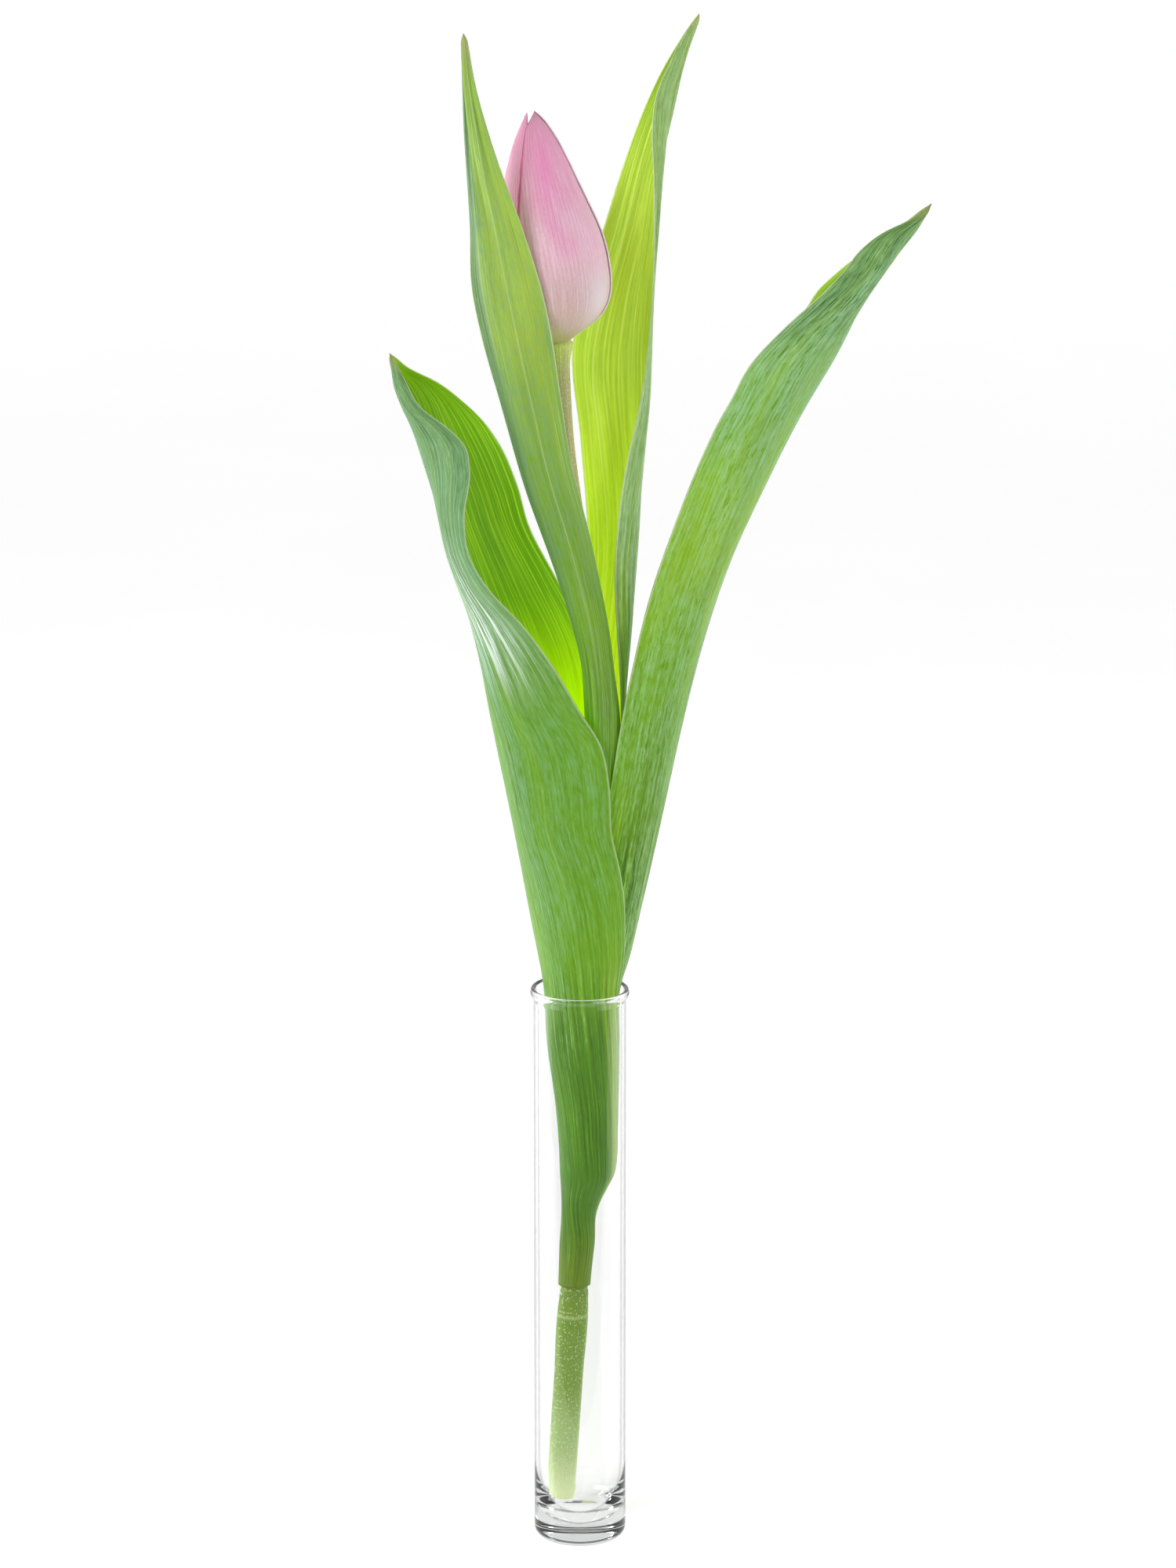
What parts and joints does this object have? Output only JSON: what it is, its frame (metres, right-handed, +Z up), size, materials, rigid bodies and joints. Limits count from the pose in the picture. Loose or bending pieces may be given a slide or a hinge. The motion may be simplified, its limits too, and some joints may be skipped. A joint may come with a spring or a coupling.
{
  "type": "tulip in vase",
  "caption": "Cut tulip with a closed pink bud and long folded leaves, standing in a slim clear glass tube with a rounded foot and a flared lip",
  "frame": {"origin": "middle of the tube's flat base", "axes": "+Z up along the tube and the stem, +Y away from the viewer, +X to the viewer's right"},
  "size_m": [0.1483, 0.0365, 0.4319],
  "materials": {
    "glass": "clear, polished, greenish grey at the edges",
    "stem": "fresh stem, satin, paler at the cut and brownish under the bud",
    "leaf": "satin green with a blue-grey bloom and fine lengthwise veins",
    "young_leaf": "satin yellow-green with pale lengthwise veins",
    "petal": "silky pink with fine veins, cream at the base",
    "pistil": "matte pale green",
    "stamen": "powdery, nearly black"
  },
  "bodies": {
    "root": {"vase": "glass", "stem": "stem", "leaf_1": "leaf", "leaf_2": "leaf", "leaf_3": "leaf", "leaf_4": "young_leaf", "petal_outer_1": "petal", "petal_outer_2": "petal", "petal_outer_3": "petal", "petal_inner_1": "petal", "petal_inner_2": "petal", "petal_inner_3": "petal", "pistil": "pistil", "stamen_1": "stamen", "stamen_2": "stamen", "stamen_3": "stamen", "stamen_4": "stamen", "stamen_5": "stamen", "stamen_6": "stamen"}
  },
  "joints": []
}
